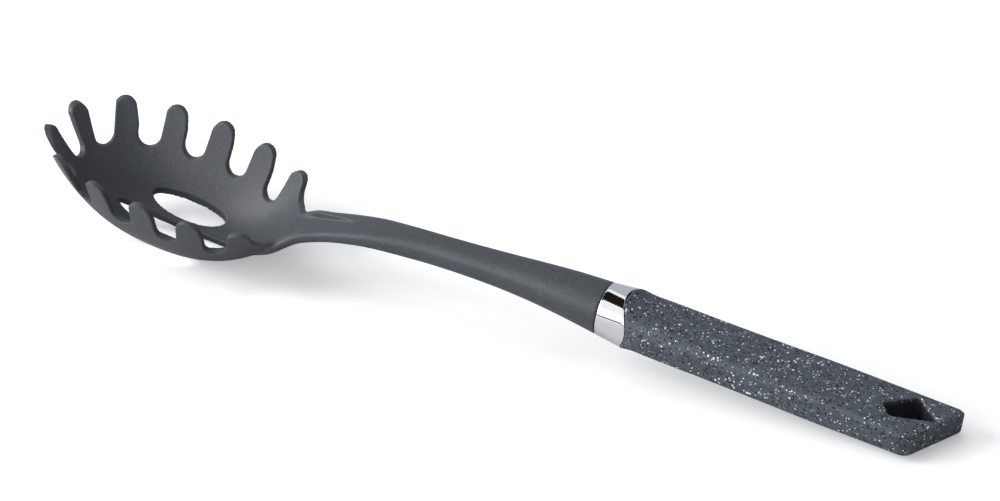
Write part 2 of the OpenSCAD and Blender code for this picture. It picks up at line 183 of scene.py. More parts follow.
class SERVER_PG_handle(bpy.types.PropertyGroup):
    ring_length: length("Ring", "Length of the bright ring", 9.6)
    ring_width: length("Ring width", "Width of the ring at the grip", 20.8)
    ring_height: length("Ring height", "Height of the ring at the grip", 18.9)
    wave: length("Ring wave", "How much longer the ring is at its sides than at its top", 2.15)
    joint: length("Joint", "Width of the fine joints at both ends of the ring", 0.3)
    run: length("Grip", "Length of the grip at its middle", 111)
    size_y: length("Grip width", "Width of the grip at its middle", 22.4)
    size_z: length("Grip height", "Height of the grip at its middle", 11.8)
    slant: FloatProperty(name="Slant", description="Slant of the grip's end", default=math.radians(25),
                         subtype='ANGLE')
    corner: length("End corners", "Round of the end seen from above", 4.5)
    edge: length("End edges", "Round of the end seen from the side", 2.2)
    brow: length("Upper end edge", "Round of the end's upper edge", 1.2)
    sole: length("Lower end edge", "Round of the end's lower edge", 3.4)
    hole_x: length("Hole length", "Length of the hanging hole along the grip", 18.4)
    hole_y: length("Hole width", "Width of the hanging hole", 13.8)
    hole_off: length("Hole offset", "How far the hole lies off the middle line", 2)
    hole_edge: length("Hole to end", "Distance from the hole to the grip's end", 2.4)
    hole_round: length("Hole corners", "Round of the hole's corners", 1.6)


class SERVER_PG_finish(bpy.types.PropertyGroup):
    nylon: tint("Nylon", "Dark grey of the nylon", (0.06, 0.0665, 0.076))
    stone: tint("Stone", "Ground of the stone effect", (0.071, 0.084, 0.105))
    speck: tint("Specks", "Pale specks in the stone", (0.78, 0.80, 0.80))
    bright: tint("Ring", "Bright plating", (0.86, 0.87, 0.89))


def clear_selection():
    if bpy.context.object and bpy.context.object.mode != 'OBJECT':
        bpy.ops.object.mode_set(mode='OBJECT')
    bpy.ops.object.select_all(action='DESELECT')


def choose(obj):
    clear_selection()
    obj.select_set(True)
    bpy.context.view_layer.objects.active = obj


def apply(obj, kind, **settings):
    """Adds a modifier, sets it and applies it."""
    choose(obj)
    modifier = obj.modifiers.new(kind.title(), kind)
    for key, value in settings.items():
        setattr(modifier, key, value)
    bpy.ops.object.modifier_apply(modifier=modifier.name)


def copy_of(obj, name):
    twin = obj.copy()
    twin.data = obj.data.copy()
    twin.name = name
    bpy.context.collection.objects.link(twin)
    return twin


def discard(obj):
    mesh = obj.data
    bpy.data.objects.remove(obj)
    bpy.data.meshes.remove(mesh)


def carve(obj, tool, operation='DIFFERENCE'):
    """Cuts obj by the tool, which is used up."""
    apply(obj, 'BOOLEAN', operation=operation, solver='EXACT', object=tool)
    discard(tool)


def weld(obj, others):
    """Joins the other pieces into obj."""
    choose(obj)
    for other in others:
        other.select_set(True)
    bpy.ops.object.join()


def place(obj, matrix):
    """Puts the object by a matrix and applies it, so its place is in its mesh."""
    choose(obj)
    obj.matrix_world = matrix
    bpy.ops.object.transform_apply(location=True, rotation=True, scale=True)


def settle():
    """Applies the place and size of the object just added."""
    tool = bpy.context.object
    choose(tool)
    bpy.ops.object.transform_apply(location=True, rotation=True, scale=True)
    return tool


def block(spot, size):
    clear_selection()
    bpy.ops.mesh.primitive_cube_add(size=1, location=spot, scale=size)
    return settle()


def face_out(obj):
    """Turns the faces of a closed mesh outwards."""
    choose(obj)
    bpy.ops.object.mode_set(mode='EDIT')
    bpy.ops.mesh.select_all(action='SELECT')
    bpy.ops.mesh.normals_make_consistent(inside=False)
    bpy.ops.object.mode_set(mode='OBJECT')


def loft(name, rings, ends='BOTH'):
    """Circles are added, moved to their sections and bridged one to the next.

    Both ends are closed, only the FIRST one, or the last circle is bridged to the first as a RING.
    """
    clear_selection()
    count = len(rings[0])
    bpy.ops.mesh.primitive_circle_add(vertices=count, radius=1)
    obj = bpy.context.object
    obj.name = name
    bpy.ops.object.mode_set(mode='EDIT')
    for _ in rings[1:]:
        bpy.ops.mesh.primitive_circle_add(vertices=count, radius=1)
    net = bmesh.from_edit_mesh(obj.data)
    net.verts.ensure_lookup_table()
    for vert, spot in zip(net.verts, [p for ring in rings for p in ring]):
        vert.co = spot
    pairs = [(i, i + 1) for i in range(len(rings) - 1)]
    if ends == 'RING':
        pairs.append((len(rings) - 1, 0))
    for pair in pairs:
        select_rings(obj, pair, count)
        bpy.ops.mesh.bridge_edge_loops()
    if ends != 'RING':
        for i in ([0, len(rings) - 1] if ends == 'BOTH' else [0]):
            select_rings(obj, (i,), count)
            bpy.ops.mesh.edge_face_add()
    bpy.ops.mesh.select_all(action='SELECT')
    bpy.ops.mesh.normals_make_consistent(inside=False)
    bpy.ops.object.mode_set(mode='OBJECT')
    return obj


def select_rings(obj, wanted, count):
    bpy.ops.mesh.select_all(action='DESELECT')
    net = bmesh.from_edit_mesh(obj.data)
    net.verts.index_update()
    for edge in net.edges:
        first, second = edge.verts[0].index // count, edge.verts[1].index // count
        if first == second and first in wanted:
            edge.select_set(True)
    bmesh.update_edit_mesh(obj.data)


def table(rows, column, share):
    """Smooth value of a table's column at a share."""
    i = 0
    while i < len(rows) - 2 and share >= rows[i + 1][0]:
        i += 1

    def slope(j):
        a, b = rows[max(j - 1, 0)], rows[min(j + 1, len(rows) - 1)]
        return (b[column] - a[column]) / (b[0] - a[0])

    gap = rows[i + 1][0] - rows[i][0]
    u = (share - rows[i][0]) / gap
    return ((2 * u ** 3 - 3 * u ** 2 + 1) * rows[i][column] + (u ** 3 - 2 * u ** 2 + u) * gap * slope(i)
            + (3 * u ** 2 - 2 * u ** 3) * rows[i + 1][column] + (u ** 3 - u ** 2) * gap * slope(i + 1))


def oval(angle, half_x, half_y, power):
    c, s = math.cos(angle), math.sin(angle)
    k = (abs(c) ** power + abs(s) ** power) ** (-1 / power)
    return half_x * k * c, half_y * k * s


class Rim:
    """The rim's middle line, seen from above, measured from the front round to the neck."""

    def __init__(self, bowl, steps=720):
        self.bowl = bowl
        self.x = (bowl.size_x - bowl.wall) / 2
        self.y = (bowl.size_y - bowl.wall) / 2
        self.spots = [Vector(oval(math.pi * (1 - i / steps), self.x, self.y, bowl.square))
                      for i in range(steps + 1)]
        self.runs = [0]
        for a, b in zip(self.spots, self.spots[1:]):
            self.runs.append(self.runs[-1] + (b - a).length)
        self.run = self.runs[-1]

    def spot(self, run):
        far = abs(run)
        i = min(range(len(self.runs) - 1), key=lambda j: 0 if self.runs[j] <= far <= self.runs[j + 1]
                else min(abs(self.runs[j] - far), abs(self.runs[j + 1] - far)))
        u = (far - self.runs[i]) / (self.runs[i + 1] - self.runs[i])
        at = self.spots[i].lerp(self.spots[i + 1], u)
        return Vector((at.x, -at.y if run < 0 else at.y))

    def out(self, run):
        at, p = self.spot(run), self.bowl.square
        way = Vector((math.copysign((abs(at.x) / self.x) ** (p - 1) / self.x, at.x),
                      math.copysign((abs(at.y) / self.y) ** (p - 1) / self.y, at.y)))
        return way.normalized()

    def share(self, height):
        return (height / self.bowl.depth) ** (1 / self.bowl.swell)


def tip_radius(bowl, i):
    return TINES[i][2] * bowl.tine_width / 2


def placements(bowl, neck, grip):
    """Places of the bowl and of the handle, as the box of the head and the slopes give them."""
    low_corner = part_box("head")[0]
    touch = (bowl.size_x / 2 * math.tan(bowl.tilt) / (bowl.depth * bowl.swell)) ** (1 / (bowl.swell - 1))
    height = (bowl.size_x / 2 * touch * math.sin(bowl.tilt)
              - bowl.depth * touch ** bowl.swell * math.cos(bowl.tilt))
    rim, radius = Rim(bowl), tip_radius(bowl, 0)
    square = bowl.square
    front = 0
    for step in range(19):
        angle = math.radians(10 * step)
        up = TINES[0][1] * bowl.depth - radius + radius * math.sin(angle)
        share, run = rim.share(up), TINES[0][0] * rim.run
        side = rim.spot(run).y - radius * math.cos(angle) * abs(rim.out(run).x)
        aside = abs(side) / (bowl.size_y / 2 * share)
        fore = -bowl.size_x / 2 * share * (1 - aside ** square) ** (1 / square)
        front = min(front, fore * math.cos(bowl.tilt) + up * math.sin(bowl.tilt))
    middle = low_corner[0] - front
    place_bowl = Matrix.Translation((middle, 0, height)) @ Matrix.Rotation(bowl.tilt, 4, 'Y')
    reach = (bowl.size_x / 2 * math.cos(bowl.tilt) + bowl.depth * math.sin(bowl.tilt)
             + neck.run * math.cos(neck.tilt))
    end_z = table(GRIP, 2, 1) * grip.size_z
    end_y = table(GRIP, 1, 1) * grip.size_y / 2 - grip.corner * (1 - math.sin(grip.slant))
    far = end_y * math.tan(grip.slant) - grip.corner * (1 - math.cos(grip.slant))
    lift = ((grip.ring_length + grip.run + far - grip.edge) * math.sin(neck.tilt)
            + (end_z / 2 - grip.edge) * math.cos(neck.tilt) + grip.edge)
    place_handle = Matrix.Translation((middle + reach, 0, lift)) @ Matrix.Rotation(neck.tilt, 4, 'Y')
    return place_bowl, place_handle


def bowl_sheet(bowl, name, top):
    """Outer surface of the bowl as bridged ovals, up to a share of its outline."""
    rings = []
    for i in range(BOWL_ROWS + 1):
        share = SHEET_START + (top - SHEET_START) * i / BOWL_ROWS
        half_x, half_y = share * bowl.size_x / 2, share * bowl.size_y / 2
        rings.append([(*oval(2 * math.pi * j / BOWL_SIDES, half_x, half_y, bowl.square),
                       bowl.depth * share ** bowl.swell) for j in range(BOWL_SIDES)])
    return loft(name, rings, ends='FIRST')


def add_cone(low, high, near, far, spot, angle):
    """Cone lying along a direction in the plane, added to the object that is being edited."""
    middle = (near + far) / 2
    bpy.ops.mesh.primitive_cone_add(
        vertices=CONE_SIDES, radius1=low, radius2=high, depth=far - near,
        location=(spot[0] + middle * math.cos(angle), spot[1] + middle * math.sin(angle), spot[2]),
        rotation=(0, math.pi / 2, angle))


def rim_cone(bowl, rim, middle, width, height):
    """Lying cone that touches the wall's directions at both ends of a stretch of the rim."""
    n1, n2 = rim.out(middle - width / 2), rim.out(middle + width / 2)
    s1, s2 = rim.spot(middle - width / 2), rim.spot(middle + width / 2)
    d = s2 - s1
    apex = s1 + n1 * ((d.x * n2.y - d.y * n2.x) / (n1.x * n2.y - n1.y * n2.x))
    way = (n1 + n2).normalized()
    turn = math.acos(max(-1, min(1, n1.dot(n2)))) / 2
    mid = ((s1 + s2) / 2 - apex).dot(way)
    near = max(0, mid - rim.y * THROUGH)
    far = mid + bowl.wall * 3
    rise = (rim.spot(middle) * rim.share(height) - apex).dot(way) * math.tan(turn)
    add_cone(near * math.tan(turn), far * math.tan(turn), near, far, (apex.x, apex.y, height + rise),
             math.atan2(way.y, way.x))


def begin(name):
    """Starts a tool as an empty mesh in edit mode, to which primitives are added."""
    clear_selection()
    bpy.ops.mesh.primitive_cube_add(size=0.001)
    obj = bpy.context.object
    obj.name = name
    bpy.ops.object.mode_set(mode='EDIT')
    bpy.ops.mesh.select_all(action='SELECT')
    bpy.ops.mesh.delete(type='VERT')
    return obj


def wrap(obj):
    """Turns all that was added to the tool into its convex hull."""
    bpy.ops.mesh.select_all(action='SELECT')
    bpy.ops.mesh.convex_hull()
    bpy.ops.mesh.normals_make_consistent(inside=False)
    bpy.ops.object.mode_set(mode='OBJECT')
    return obj


def tine_gap(bowl, rim, i, side):
    """Gap in front of a tine, between a cone at its root and one at the tips."""
    top, foot, height = GAPS[i]
    width = ((2 * TINES[0][0] if i == 0 else TINES[i][0] - TINES[i - 1][0]) * rim.run
             - tip_radius(bowl, i) - tip_radius(bowl, max(i - 1, 0)))
    tool = begin("gap")
    rim_cone(bowl, rim, side * foot * rim.run, width - bowl.tine_flare, height * bowl.root)
    rim_cone(bowl, rim, side * top * rim.run, width + bowl.tip_taper, bowl.depth)
    return wrap(tool)


def tine_room(bowl, rim, i):
    """Room that one tine stands in, round at the tip."""
    run = TINES[i][0] * rim.run
    radius, high = tip_radius(bowl, i), TINES[i][1] * bowl.depth
    spot, way = rim.spot(run), rim.out(run)
    angle = math.atan2(way.y, way.x)
    reach = rim.y * THROUGH
    tool = begin("room")
    add_cone(radius, radius, -reach, bowl.wall * 2, (spot.x, spot.y, high - radius), angle)
    middle = spot + way * ((bowl.wall * 2 - reach) / 2)
    bpy.ops.mesh.primitive_cube_add(
        size=1, location=(middle.x, middle.y, bowl.root / 2 + bowl.wall / 2),
        rotation=(0, 0, angle), scale=(reach + bowl.wall * 2, radius * 4, bowl.wall))
    return wrap(tool)


def neck_gap(bowl, rim, side):
    """Open space above the rim between the last tine and the neck, with its fillet."""
    last = len(TINES) - 1
    radius, high = tip_radius(bowl, last), TINES[last][1] * bowl.depth
    up = bowl.neck_rim + bowl.fillet
    off = math.sqrt((bowl.fillet + radius) ** 2 - (up - high + radius) ** 2)
    run = side * TINES[last][0] * rim.run
    slide_far = rim.run - TINES[last][0] * rim.run - radius
    spot, way = rim.spot(run), rim.out(run)
    angle = math.atan2(way.y, way.x)
    along = Vector((way.y, -way.x)) * side
    tool = begin("neck_gap")
    for slide in (0, slide_far):
        for lift in (0, bowl.depth):
            at = spot + along * (off + slide)
            add_cone(bowl.fillet, bowl.fillet, -rim.y * THROUGH, rim.y * THROUGH, (at.x, at.y, up + lift),
                     angle)
    return wrap(tool)


def drain_slot(span, width, side, bowl):
    clear_selection()
    bpy.ops.mesh.primitive_cylinder_add(vertices=SLOT_SIDES, radius=0.5, depth=bowl.root,
                                        location=(0, side, 0), scale=(span, width, 1))
    return settle()


def bowl_solid(bowl, rim, recess):
    """The bowl with its tines, in its own place, as pieces that the skin joins."""
    shell = bowl_sheet(bowl, "bowl", rim.share(bowl.depth * SHEET_TOP))
    apply(shell, 'SOLIDIFY', thickness=bowl.wall, offset=-1, use_even_offset=True)
    face_out(shell)
    sides = [(i, s) for i in range(1, len(TINES)) for s in (1, -1)]
    for i, side in [(0, 1)] + sides:
        carve(shell, tine_gap(bowl, rim, i, side))
    for side in (1, -1):
        carve(shell, neck_gap(bowl, rim, side))
    carve(shell, recess)
    for span, width, side in ((bowl.slot_length, bowl.slot_width, 0),
                              (bowl.side_length, bowl.side_width, bowl.pitch),
                              (bowl.side_length, bowl.side_width, -bowl.pitch)):
        carve(shell, drain_slot(span, width, side, bowl))
    parts = []
    for i in range(len(TINES)):
        tine = copy_of(shell, "tine")
        carve(tine, tine_room(bowl, rim, i), 'INTERSECT')
        apply(tine, 'MIRROR', use_axis=(False, True, False), use_mirror_merge=False)
        parts.append(tine)
    last = len(TINES) - 1
    radius = tip_radius(bowl, last)
    rise = bowl.neck_rim + bowl.fillet - (TINES[last][1] * bowl.depth - radius)
    fillet_top = bowl.neck_rim + bowl.fillet - rise * bowl.fillet / (bowl.fillet + radius)
    rear = copy_of(shell, "rear")
    start = rim.spot(TINES[last][0] * rim.run).x
    carve(rear, block((start + bowl.size_x / 2, 0, fillet_top / 2 - bowl.wall),
                      (bowl.size_x, bowl.size_y * 2, fillet_top + bowl.wall * 2)), 'INTERSECT')
    parts.append(rear)
    floor_top = bowl.root + tip_radius(bowl, 1)
    carve(shell, block((0, 0, floor_top / 2 - bowl.wall),
                       (bowl.size_x * 2, bowl.size_y * 2, floor_top + bowl.wall * 2)), 'INTERSECT')
    weld(shell, parts)
    return shell


def inside_form(bowl):
    """What the bowl holds, up past its rim, to cut the neck's root by."""
    form = bowl_sheet(bowl, "inside", INSIDE_TOP ** (1 / bowl.swell))
    choose(form)
    bpy.ops.object.mode_set(mode='EDIT')
    bpy.ops.mesh.select_all(action='SELECT')
    bpy.ops.transform.shrink_fatten(value=-bowl.wall, use_even_offset=True)
    bpy.ops.mesh.select_all(action='DESELECT')
    bpy.ops.mesh.select_non_manifold(extend=False, use_wire=False, use_boundary=True,
                                     use_multi_face=False, use_non_contiguous=False, use_verts=False)
    bpy.ops.mesh.edge_face_add()
    bpy.ops.mesh.select_all(action='SELECT')
    bpy.ops.mesh.normals_make_consistent(inside=False)
    bpy.ops.object.mode_set(mode='OBJECT')
    return form


def neck_solid(neck):
    """The neck as bridged ovals along the handle's line."""
    rings = []
    for i in range(NECK_ROWS + 1):
        share = NECK[0][0] + (1 - NECK[0][0]) * i / NECK_ROWS
        top, low = table(NECK, 1, share) * neck.collar, table(NECK, 2, share) * neck.collar
        wide = neck.slim + table(NECK, 3, share) * (neck.collar - neck.slim)
        ring = []
        for j in range(NECK_SIDES):
            power = table(NECK, 5 if j < NECK_SIDES / 2 else 4, share)
            y, z = oval(2 * math.pi * j / NECK_SIDES, wide / 2, (top - low) / 2, power)
            ring.append(((share - 1) * neck.run, y, z + (top + low) / 2))
        rings.append(ring)
    return loft("neck", rings)


def pad_tool(neck):
    """Wedge for the recess in which the bowl's inside runs out along the neck."""
    lift = table(NECK, 1, -PAD_BACK / neck.run) * neck.collar - PAD_DEEP
    end_lift = table(NECK, 1, neck.pad_length / neck.run) * neck.collar
    tool = begin("pad")
    high = neck.collar
    end = -neck.run + neck.pad_length - PAD_TIP
    bpy.ops.mesh.primitive_cube_add(size=1, location=(-neck.run - PAD_BACK, 0, lift - PAD_DIP + high / 2),
                                    scale=(2 * PAD_DIP, neck.pad_width, high))
    bpy.ops.mesh.primitive_cylinder_add(vertices=TIP_SIDES, radius=PAD_TIP, depth=high,
                                        location=(end, 0, end_lift - PAD_DIP + high / 2))
    return wrap(tool)


def shader(name):
    material = bpy.data.materials.new(name)
    material.use_nodes = True
    tree = material.node_tree
    return material, tree, tree.nodes["Principled BSDF"]


def node(tree, kind, **inputs):
    made = tree.nodes.new(kind)
    for key, value in inputs.items():
        made.inputs[key.replace("_", " ")].default_value = value
    return made


def noise(tree, **inputs):
    """Noise laid out by the object's own coordinates."""
    made = node(tree, "ShaderNodeTexNoise", **inputs)
    tree.links.new(tree.nodes.new("ShaderNodeTexCoord").outputs["Object"], made.inputs["Vector"])
    return made


def combine(tree, operation, first, second=0):
    """Result of a calculation with a socket and with a socket or a number."""
    made = tree.nodes.new("ShaderNodeMath")
    made.operation = operation
    tree.links.new(first, made.inputs[0])
    if isinstance(second, bpy.types.NodeSocket):
        tree.links.new(second, made.inputs[1])
    else:
        made.inputs[1].default_value = second
    return made.outputs["Value"]


def map_range(tree, value, low, high, at_low, at_high):
    """Value at a share between two bounds, held beyond them."""
    made = tree.nodes.new("ShaderNodeMapRange")
    for key, number in (("From Min", low), ("From Max", high), ("To Min", at_low), ("To Max", at_high)):
        made.inputs[key].default_value = number
    tree.links.new(value, made.inputs["Value"])
    return made.outputs["Result"]


def two_tone(tree, share, low, high, dark, pale):
    """Colour that goes from dark at the low share to pale at the high one."""
    ramp = tree.nodes.new("ShaderNodeValToRGB")
    for element, position, colour in zip(ramp.color_ramp.elements, (low, high), (dark, pale)):
        element.position = position
        element.color = [*colour, 1]
    tree.links.new(share, ramp.inputs["Fac"])
    return ramp.outputs["Color"]


def cover(tree, under, over, amount):
    """Colour of a socket, covered by another colour by an amount."""
    mix = tree.nodes.new("ShaderNodeMix")
    mix.data_type = 'RGBA'
    mix.inputs[MIX_OVER].default_value = [*over, 1]
    tree.links.new(amount, mix.inputs[0])
    tree.links.new(under, mix.inputs[MIX_UNDER])
    return mix.outputs[MIX_RESULT]


def roughen(tree, skin, height, strength):
    """Fine relief by a texture."""
    bump = node(tree, "ShaderNodeBump", Strength=strength, Distance=0.08 * MM)
    tree.links.new(height, bump.inputs["Height"])
    tree.links.new(bump.outputs["Normal"], skin.inputs["Normal"])


def nylon_material(colour):
    """Dark nylon with the fine grain of a spark-eroded mould, and a painted highlight that makes its convex
    edges paler.
    """
    material, tree, skin = shader("dark_nylon")
    grain = noise(tree, Scale=1900, Detail=2, Roughness=0.7)
    cloud = noise(tree, Scale=55, Detail=2)
    blend = tree.nodes.new("ShaderNodeMix")
    blend.data_type = 'FLOAT'
    blend.inputs[0].default_value = 0.15
    tree.links.new(grain.outputs["Fac"], blend.inputs[2])
    tree.links.new(cloud.outputs["Fac"], blend.inputs[3])
    ground = two_tone(tree, blend.outputs[0], 0.36, 0.64,
                      [c * 0.74 for c in colour], [c * 1.26 for c in colour])
    # Painted highlight: convex edges, where the skin is pointed, are made paler than the nylon.
    edges = tree.nodes.new("ShaderNodeNewGeometry").outputs["Pointiness"]
    painted_edge_highlight = cover(tree, ground, [c * 2.1 for c in colour], map_range(tree, edges, 0.515, 0.60, 0, 0.35))
    tree.links.new(painted_edge_highlight, skin.inputs["Base Color"])
    roughen(tree, skin, grain.outputs["Fac"], 0.35)
    skin.inputs["Roughness"].default_value = 0.46
    skin.inputs["Specular IOR Level"].default_value = 0.3
    return material


def bright_material(colour):
    """Mirror-bright plating with a breath of handling haze."""
    material, tree, skin = shader("bright_plating")
    haze = noise(tree, Scale=260, Detail=4)
    tree.links.new(map_range(tree, haze.outputs["Fac"], 0, 1, 0.035, 0.085), skin.inputs["Roughness"])
    skin.inputs["Base Color"].default_value = [*colour, 1]
    skin.inputs["Metallic"].default_value = 1
    return material


def speckle(tree, scale, size, share, stretch, angles):
    """Mask of specks: cells of a Voronoi texture, kept by chance, each a small irregular blot."""
    turn = tree.nodes.new("ShaderNodeMapping")
    turn.inputs["Rotation"].default_value = angles
    turn.inputs["Scale"].default_value = stretch
    tree.links.new(tree.nodes.new("ShaderNodeTexCoord").outputs["Object"], turn.inputs["Vector"])
    shift = tree.nodes.new("ShaderNodeVectorMath")
    shift.operation = 'MULTIPLY_ADD'
    shift.inputs[1].default_value = (0.45 / scale,) * 3
    tree.links.new(noise(tree, Scale=scale * 2.2, Detail=1).outputs["Color"], shift.inputs[0])
    tree.links.new(turn.outputs["Vector"], shift.inputs[2])
    cells = node(tree, "ShaderNodeTexVoronoi", Scale=scale)
    tree.links.new(shift.outputs["Vector"], cells.inputs["Vector"])
    parts = tree.nodes.new("ShaderNodeSeparateColor")
    tree.links.new(cells.outputs["Color"], parts.inputs["Color"])
    chosen = combine(tree, 'LESS_THAN', parts.outputs["Red"], share)
    reach = combine(tree, 'MULTIPLY', parts.outputs["Green"], size)
    inside = combine(tree, 'LESS_THAN', cells.outputs["Distance"], reach)
    return combine(tree, 'MULTIPLY', chosen, inside)


def painted_hole_shade(tree, latest, spot, slope, size):
    """Painted shade: near-black without specks on the walls of the hanging hole, where shade falls."""
    own = tree.nodes.new("ShaderNodeMapping")
    own.vector_type = 'TEXTURE'
    own.inputs["Location"].default_value = spot
    own.inputs["Rotation"].default_value = (0, slope, 0)
    own.inputs["Scale"].default_value = size
    tree.links.new(tree.nodes.new("ShaderNodeTexCoord").outputs["Object"], own.inputs["Vector"])
    flat = tree.nodes.new("ShaderNodeVectorMath")
    flat.operation = 'MULTIPLY'
    flat.inputs[1].default_value = (1, 1, 0)
    tree.links.new(own.outputs["Vector"], flat.inputs[0])
    far = tree.nodes.new("ShaderNodeVectorMath")
    far.operation = 'LENGTH'
    tree.links.new(flat.outputs["Vector"], far.inputs[0])
    parts = tree.nodes.new("ShaderNodeSeparateXYZ")
    tree.links.new(own.outputs["Vector"], parts.inputs["Vector"])
    near = map_range(tree, far.outputs["Value"], 1, 1.08, 1, 0)
    level = combine(tree, 'ABSOLUTE', parts.outputs["Z"])
    deep = map_range(tree, level, 0.6, 0.95, 0.92, 0)
    # Painted shade, strongest at the middle of the hole's depth and fading at its top and bottom.
    return cover(tree, latest, (0.006, 0.0065, 0.008), combine(tree, 'MULTIPLY', near, deep))


def stone_material(colour, speck, hole):
    """Soft-touch stone effect: slate ground, pale and black specks of several sizes."""
    material, tree, skin = shader("stone_effect")
    cloud = noise(tree, Scale=420, Detail=3)
    latest = two_tone(tree, cloud.outputs["Fac"], 0.35, 0.65,
                      [c * 0.82 for c in colour], [c * 1.15 for c in colour])
    tones = {"black": (0.006, 0.007, 0.01), "dull": [c * 0.45 for c in speck], "pale": speck}
    for scale, size, share, stretch, angles, kind in SPECKS:
        latest = cover(tree, latest, tones[kind], speckle(tree, scale, size, share, stretch, angles))
    # Painted shade darkens the walls of the hanging hole.
    tree.links.new(painted_hole_shade(tree, latest, *hole), skin.inputs["Base Color"])
    roughen(tree, skin, noise(tree, Scale=1500, Detail=2).outputs["Fac"], 0.15)
    skin.inputs["Roughness"].default_value = 0.58
    skin.inputs["Specular IOR Level"].default_value = 0.4
    return material


def dress(obj, material, name, slot, *nodes):
    """Names a finished piece, gives it its finish, hangs it on the root body and hides the solids that it
    stands for.
    """
    obj.name = name
    obj.data.name = name
    obj.data.materials.clear()
    obj.data.materials.append(material)
    choose(obj)
    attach(obj, "root")
    if nodes:
        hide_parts(*nodes)


def skin_over(obj, step, rounds):
    """Lays one closed skin over the joined solids and eases its edges."""
    apply(obj, 'REMESH', mode='VOXEL', voxel_size=step, adaptivity=0)
    apply(obj, 'SMOOTH', factor=0.5, iterations=rounds)


def thin(obj):
    """Thins the skin to the most triangles that a piece may have."""
    triangles = 2 * len(obj.data.polygons)
    if triangles > MOST_TRIANGLES:
        apply(obj, 'DECIMATE', ratio=MOST_TRIANGLES / triangles)
    choose(obj)
    bpy.ops.object.shade_smooth()


def ease(obj, spots, reach, rounds):
    """Eases the skin round some spots, so that two forms flow into each other."""
    group = obj.vertex_groups.new(name="ease")
    for vert in obj.data.vertices:
        near = min((vert.co - spot).length for spot in spots)
        if near < reach:
            share = 1 - near / reach
            group.add([vert.index], share * share * (3 - 2 * share), 'REPLACE')
    apply(obj, 'SMOOTH', factor=0.5, iterations=rounds, vertex_group=group.name)
    obj.vertex_groups.clear()


def root_spots(bowl, rim, to_bowl, offs, height):
    """Spots on the rim line beside the neck, at distances in mm from the neck's middle."""
    share = rim.share(height)
    spots = []
    for off in offs:
        at = rim.spot(math.copysign(rim.run - abs(off) * MM, off)) * share
        spots.append(to_bowl @ Vector((at.x, at.y, height)))
    return spots


class SERVER_OT_head(bpy.types.Operator):
    """Moulds the bowl with its tines and slots and the neck in one piece"""
    bl_idname = "server.head"
    bl_label = "Bowl and Neck"

    def execute(self, context):
        scene = context.scene
        bowl, neck, grip = scene.server_bowl, scene.server_neck, scene.server_handle
        rim = Rim(bowl)
        to_bowl, to_handle = placements(bowl, neck, grip)
        recess = pad_tool(neck)
        place(recess, to_bowl.inverted() @ to_handle)
        head = bowl_solid(bowl, rim, recess)
        place(head, to_bowl)
        stem = neck_solid(neck)
        carve(stem, pad_tool(neck))
        place(stem, to_handle)
        form = inside_form(bowl)
        place(form, to_bowl)
        carve(stem, form)
        weld(head, [stem])
        skin_over(head, neck.grain, HEAD_ROUNDS)
        for offs, level, reach, rounds in EASED:
            ease(head, root_spots(bowl, rim, to_bowl, offs, bowl.neck_rim * level), reach * MM, rounds)
        thin(head)
        dress(head, nylon_material(scene.server_finish.nylon), "nylon_head", "nylon", "head")
        return {'FINISHED'}


def ring_rings(grip, neck):
    """Sections of the ring: round at the neck, and with a waved edge at the grip."""
    edge, front, run = RING_EDGE, grip.joint, grip.ring_length
    bend = edge * 0.3
    profile = [(front, edge), (front + bend, bend), (front + edge, 0)]
    profile += [(run * k / 8, 0) for k in range(1, 8)]
    profile += [(run - edge, 0), (run - bend, bend), (run, edge)]
    rings = []
    for x, drawn in profile + [(run, None), (front, None)]:
        share = x / run
        wide = neck.collar + (grip.ring_width - neck.collar) * share
        high = neck.collar + (grip.ring_height - neck.collar) * share
        ring = []
        for j in range(RING_SIDES):
            angle = 2 * math.pi * j / RING_SIDES
            if drawn is None:
                spot = oval(angle, RING_BORE, RING_BORE, 2)
            else:
                spot = oval(angle, wide / 2 - drawn, high / 2 - drawn, 2 + share / 3)
            ring.append((x + share * grip.wave * math.cos(2 * angle), *spot))
        rings.append(ring)
    return rings


class SERVER_OT_ferrule(bpy.types.Operator):
    """Turns the bright ring between the neck and the grip"""
    bl_idname = "server.ferrule"
    bl_label = "Bright Ring"

    def execute(self, context):
        scene = context.scene
        bowl, neck, grip = scene.server_bowl, scene.server_neck, scene.server_handle
        ring = loft("ring", ring_rings(grip, neck), ends='RING')
        place(ring, placements(bowl, neck, grip)[1])
        choose(ring)
        bpy.ops.object.shade_smooth_by_angle(angle=math.radians(50))
        dress(ring, bright_material(scene.server_finish.bright), "bright_ring", "bright_ring", "ferrule")
        return {'FINISHED'}


def grip_ring(grip, x, in_y, in_top, in_low):
    """Section of the grip at a length, drawn in at its sides, top and bottom."""
    share = x / grip.run
    wide = table(GRIP, 1, share) * grip.size_y - 2 * in_y
    high = table(GRIP, 2, share) * grip.size_z - in_top - in_low
    lift = (in_low - in_top) / 2
    radius = max(table(GRIP, 3, share) * grip.size_z - max(in_top, in_low), LEAST_CORNER)
    u = max(0, (share - SLANT_START) / SLANT_SHARE)
    lean = math.tan(grip.slant) * u * u * (3 - 2 * u)
    start = max(0, 1 - x / WAVE_REACH) ** 2
    ring = []
    for corner in range(4):
        for j in range(CORNER_STEPS + 1):
            angle = math.radians(90 * (corner + j / CORNER_STEPS))
            sy, sz = (1 if corner in (0, 3) else -1), (1 if corner < 2 else -1)
            y = sy * (wide / 2 - radius) + radius * math.cos(angle)
            z = sz * (high / 2 - radius) + radius * math.sin(angle)
            turn = math.atan2(z / high, y / wide)
            along = x + lean * y + start * grip.wave * math.cos(2 * turn)
            ring.append((grip.ring_length + grip.joint + along, y, z + lift))
    return ring


